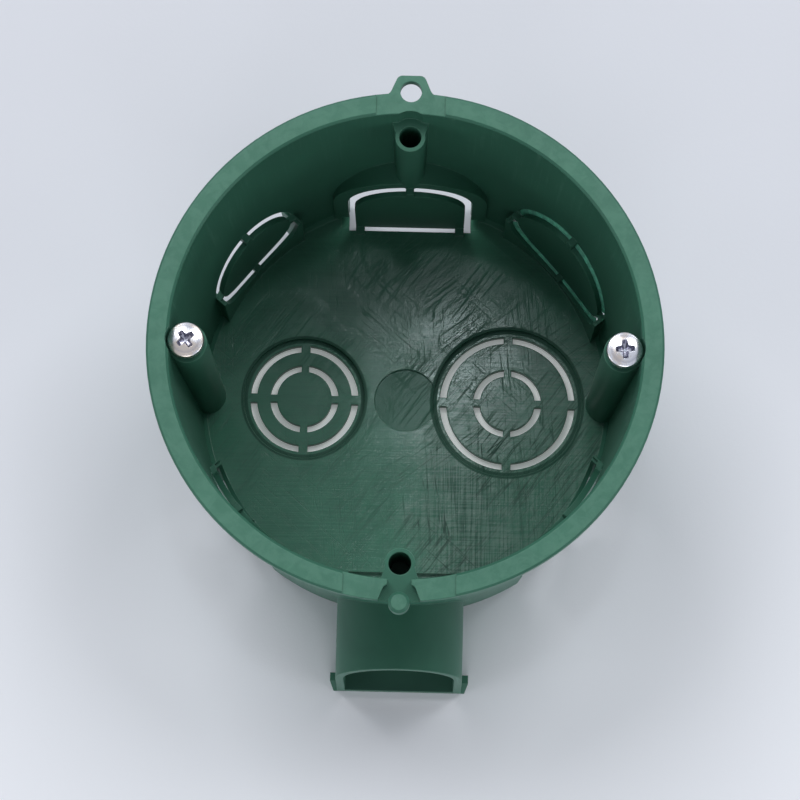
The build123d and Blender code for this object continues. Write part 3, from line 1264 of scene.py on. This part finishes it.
@dataclass
class Studio:
    """Floor, light and camera, in metres."""

    paper: TablePaper
    floor_half: float = 3.0
    floor_height: float = -0.00005
    floor_steps: int = 24
    sky: Colour = (0.93, 0.96, 1.0)
    sky_strength: float = 0.23
    backdrop: Colour = (0.62, 0.65, 0.72)
    lens: float = 121.54
    sensor_width: float = 36.0
    clip: tuple[float, float] = (0.01, 20.0)
    target: Point = (-0.000717, -0.00333, 0.020)
    distance: float = 0.391112
    pitch: float = 79.44
    azimuth: float = 2.654
    roll: float = -1.292
    lamps: tuple[Lamp, ...] = (
        Lamp("soft_box_left", (-0.42, 0.66, 1.00), (0.0, 0.0, 0.0), 0.62, 6.8),
        Lamp("soft_box_right", (0.50, 0.60, 0.98), (0.0, 0.0, 0.0), 0.56, 5.1),
        Lamp("overhead", (0.018, 0.226, 1.14), (0.0, 0.0, 0.0), 0.056, 0.34, (0.82, 0.98, 1.0)),
        Lamp("front_fill", (0.05, -1.15, 0.62), (0.0, -0.05, 0.0), 0.70, 3.0),
        Lamp("side_fill_left", (-1.20, -0.55, 0.42), (0.0, -0.03, 0.0), 0.60, 2.4),
        Lamp("side_fill_right", (1.20, -0.55, 0.42), (0.0, -0.03, 0.0), 0.60, 2.9))

    def build(self) -> None:
        """Build everything that isn't the object."""
        self._floor()
        self._world()
        self._camera()
        for lamp in self.lamps:
            lamp.build()
            LOG.info("lamp %s", lamp.name)

    def _floor(self) -> None:
        """Lay the floor, a flat sheet of card."""
        steps = self.floor_steps
        vertices = [(self.floor_half * (2 * column / steps - 1) / MM,
                     self.floor_half * (2 * row / steps - 1) / MM, self.floor_height / MM)
                    for row in range(steps + 1) for column in range(steps + 1)]
        table = link_mesh("table", vertices, grid_faces(steps, steps))
        self.paper.dress(table)
        LOG.info("floor")

    def _world(self) -> None:
        """Set an even pale sky, seen as the backdrop by the camera and by gloss."""
        world = bpy.data.worlds.new("studio")
        bpy.context.scene.world = world
        world.use_nodes = True
        sheet = Sheet(world.node_tree)
        path = sheet.add("ShaderNodeLightPath")
        seen = sheet.calc("MAXIMUM", path.outputs["Is Camera Ray"],
                          path.outputs["Is Transmission Ray"])
        seen = sheet.calc("MAXIMUM", seen, path.outputs["Is Glossy Ray"])
        even = sheet.add("ShaderNodeBackground", None,
                         {"Color": (*self.sky, 1.0), "Strength": self.sky_strength})
        shown = sheet.add("ShaderNodeBackground", None,
                          {"Color": (*self.backdrop, 1.0), "Strength": 1.0})
        blend = sheet.add("ShaderNodeMixShader", None,
                          {0: seen, 1: even.outputs[0], 2: shown.outputs[0]})
        sheet.add("ShaderNodeOutputWorld", None, {0: blend.outputs[0]})
        LOG.info("world")

    def _camera(self) -> None:
        """Set the camera at the photograph's view."""
        pitch = math.radians(self.pitch)
        azimuth = math.radians(self.azimuth)
        roll = math.radians(self.roll)
        back = Vector((math.cos(pitch) * math.sin(azimuth), -math.cos(pitch) * math.cos(azimuth),
                       math.sin(pitch)))
        right = Vector((math.cos(azimuth), math.sin(azimuth), 0.0))
        up = back.cross(right)
        across = math.cos(roll) * right + math.sin(roll) * up
        upward = -math.sin(roll) * right + math.cos(roll) * up
        data = bpy.data.cameras.new("camera")
        data.lens = self.lens
        data.sensor_width = self.sensor_width
        data.sensor_fit = "HORIZONTAL"
        data.clip_start, data.clip_end = self.clip
        camera = bpy.data.objects.new("camera", data)
        bpy.context.scene.collection.objects.link(camera)
        turn = Matrix((across, upward, back)).transposed().to_4x4()
        place = Vector(self.target) + back * self.distance
        camera.matrix_world = Matrix.Translation(place) @ turn
        bpy.context.scene.camera = camera
        LOG.info("camera")


def grid_faces(rows: int, columns: int) -> list[tuple[int, ...]]:
    """List the faces of a grid whose points are stored row by row.

    Args:
        rows: Number of faces from the first row of points to the last.
        columns: Number of faces in a row.

    Returns:
        Numbers of the points of each face.
    """
    width = columns + 1
    return [(start, start + 1, start + width + 1, start + width)
            for row in range(rows) for start in range(row * width, row * width + columns)]


def ring_faces(rows: int, count: int, first: int = 0) -> list[tuple[int, ...]]:
    """List the faces between closed rings of points that follow one another.

    Args:
        rows: Number of gaps between the rings.
        count: Number of points in a ring.
        first: Number of the first ring's first point.

    Returns:
        Numbers of the points of each face.
    """
    faces = []
    for start in range(first, first + rows * count, count):
        for index in range(count):
            after = (index + 1) % count
            faces.append((start + index, start + count + index, start + count + after,
                          start + after))
    return faces


def link_mesh(name: str, vertices: Sequence[Sequence[float]],
              faces: Sequence[Sequence[int]]) -> bpy.types.Object:
    """Make an object from points in millimetres.

    Args:
        name: Name of the object and of its mesh.
        vertices: The points.
        faces: Numbers of the points of each face.

    Returns:
        The object, linked to the scene.
    """
    mesh = bpy.data.meshes.new(name)
    mesh.from_pydata([tuple(MM * value for value in point) for point in vertices], [], faces)
    mesh.validate()
    mesh.update()
    thing = bpy.data.objects.new(name, mesh)
    bpy.context.scene.collection.objects.link(thing)
    return thing


def shade_smooth(mesh: bpy.types.Mesh) -> None:
    """Shade every face of a mesh smoothly."""
    for face in mesh.polygons:
        face.use_smooth = True


def thicken(thing: bpy.types.Object, thickness: float, offset: float) -> None:
    """Give a sheet its thickness.

    Args:
        thing: The sheet.
        thickness: Thickness in millimetres.
        offset: -1 for the lower side, 0 for both sides.
    """
    body = thing.modifiers.new("thickness", "SOLIDIFY")
    body.thickness = thickness * MM
    body.offset = offset


def main() -> None:
    """Build the looks of the box, its screws and the studio."""
    logging.basicConfig(level=logging.INFO, format="%(name)s: %(message)s")
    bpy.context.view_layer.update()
    bpy.context.scene.view_settings.view_transform = "Standard"

    plastic = MouldedPlastic()
    moulding = Moulding(plastic).build()
    LOG.info("piece %s", moulding.name)
    for film in EntryFilm(ThinFilm()).build():
        LOG.info("piece %s", film.name)
    for side in Side:
        LOG.info("piece %s", LatchShadeSkin(side, plastic).build().name)
    zinc = ZincPlate()
    for side in Side:
        screw = DeviceScrew(side, zinc).build()
        LOG.info("piece %s, %d faces", screw.name, len(screw.data.polygons))
    Studio(TablePaper()).build()


if __name__ == "__main__":
    main()
